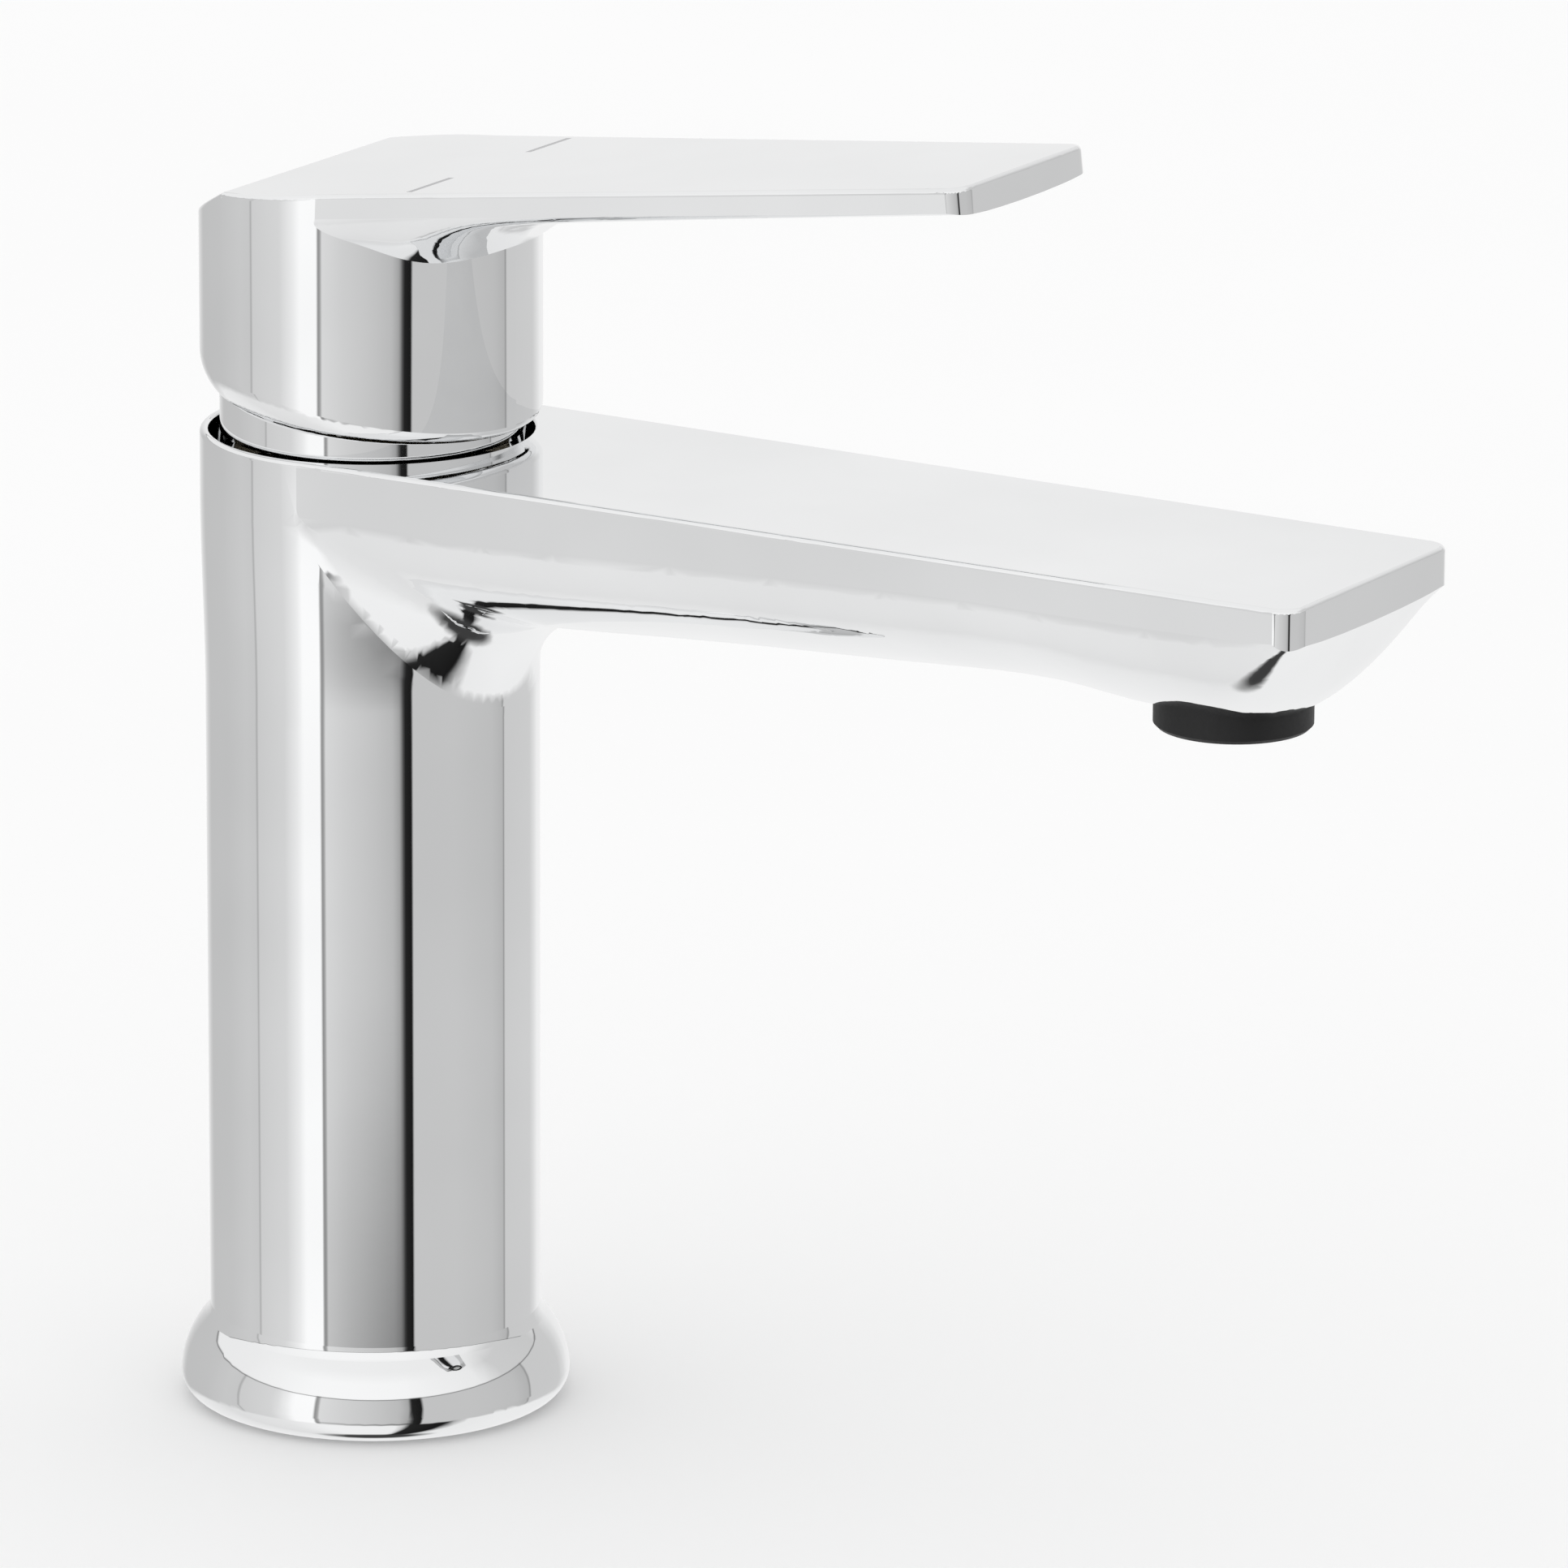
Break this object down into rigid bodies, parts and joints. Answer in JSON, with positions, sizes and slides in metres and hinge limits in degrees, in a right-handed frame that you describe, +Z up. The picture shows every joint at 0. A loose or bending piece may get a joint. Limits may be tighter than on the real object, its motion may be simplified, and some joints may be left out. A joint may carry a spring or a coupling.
{
  "type": "single-lever basin mixer tap",
  "caption": "Bathroom basin mixer: round column with a flared foot, flat straight spout with aerator, and a tapering lever that lifts for flow and turns for heat.",
  "frame": {"origin": "centre of the foot's underside, on the column's axis, at the mouth of the foot bore", "axes": "+Z up along the column, -Y along the spout and the lever, +X to the hot side's opposite"},
  "size_m": [0.0528, 0.1792, 0.1821],
  "materials": {
    "cast_chrome": "polished chrome plate",
    "lever_chrome": "polished chrome plate",
    "skirt_chrome": "polished chrome plate",
    "dome_chrome": "polished chrome plate",
    "mark_fill": "filled engraving, satin",
    "black_plastic": "fine matte",
    "screw_steel": "turned",
    "plug_plastic": "gloss",
    "stem_brass": "machined",
    "pin_steel": "ground",
    "cartridge_white": "moulded",
    "cartridge_grey": "moulded",
    "alumina": "lapped",
    "seal_rubber": "moulded",
    "limit_red": "moulded",
    "nut_brass": "machined",
    "insert_plastic": "moulded",
    "screen_steel": "woven"
  },
  "bodies": {
    "body": {"body": "cast_chrome", "cartridge_dome": "dome_chrome", "aerator_housing": "black_plastic", "aerator_mixer": "insert_plastic", "flow_regulator": "insert_plastic", "strainer_screen": "screen_steel", "aerator_washer": "seal_rubber", "foot_gasket": "seal_rubber", "inlet_seals": "seal_rubber", "disc_seals": "seal_rubber", "housing_oring": "seal_rubber", "fixed_ceramic_disc": "alumina", "cartridge_base": "cartridge_white", "cartridge_housing": "cartridge_white", "hot_limit_ring": "limit_red", "slip_washer": "insert_plastic", "retaining_nut": "nut_brass"},
    "rotor": {"turning_collar": "cartridge_grey", "stem_pin": "pin_steel"},
    "lever": {"lever_handle": "lever_chrome", "lever_skirt": "skirt_chrome", "lever_stem": "stem_brass", "lever_set_screw": "screw_steel", "set_screw_plug": "plug_plastic", "hot_mark": "mark_fill", "cold_mark": "mark_fill"},
    "carrier": {"disc_carrier": "cartridge_grey", "moving_ceramic_disc": "alumina"}
  },
  "joints": [
    {"name": "handle_swivel", "type": "hinge", "parent": "body", "child": "rotor", "pos_m": [0, 0, 0.142], "axis": [0, 0, 1], "range_deg": [-45, 45]},
    {"name": "handle_lift", "type": "hinge", "parent": "rotor", "child": "lever", "pos_m": [0, 0, 0.142], "axis": [-1, 0, 0], "range_deg": [0, 24]},
    {"name": "disc_slide", "type": "slide", "parent": "rotor", "child": "carrier", "axis": [0, -1, 0], "range_m": [0, 0.0058]}
  ],
  "couplings": [
    {"joint": "disc_slide", "follows": "handle_lift", "m_per_rad": 0.0137}
  ]
}
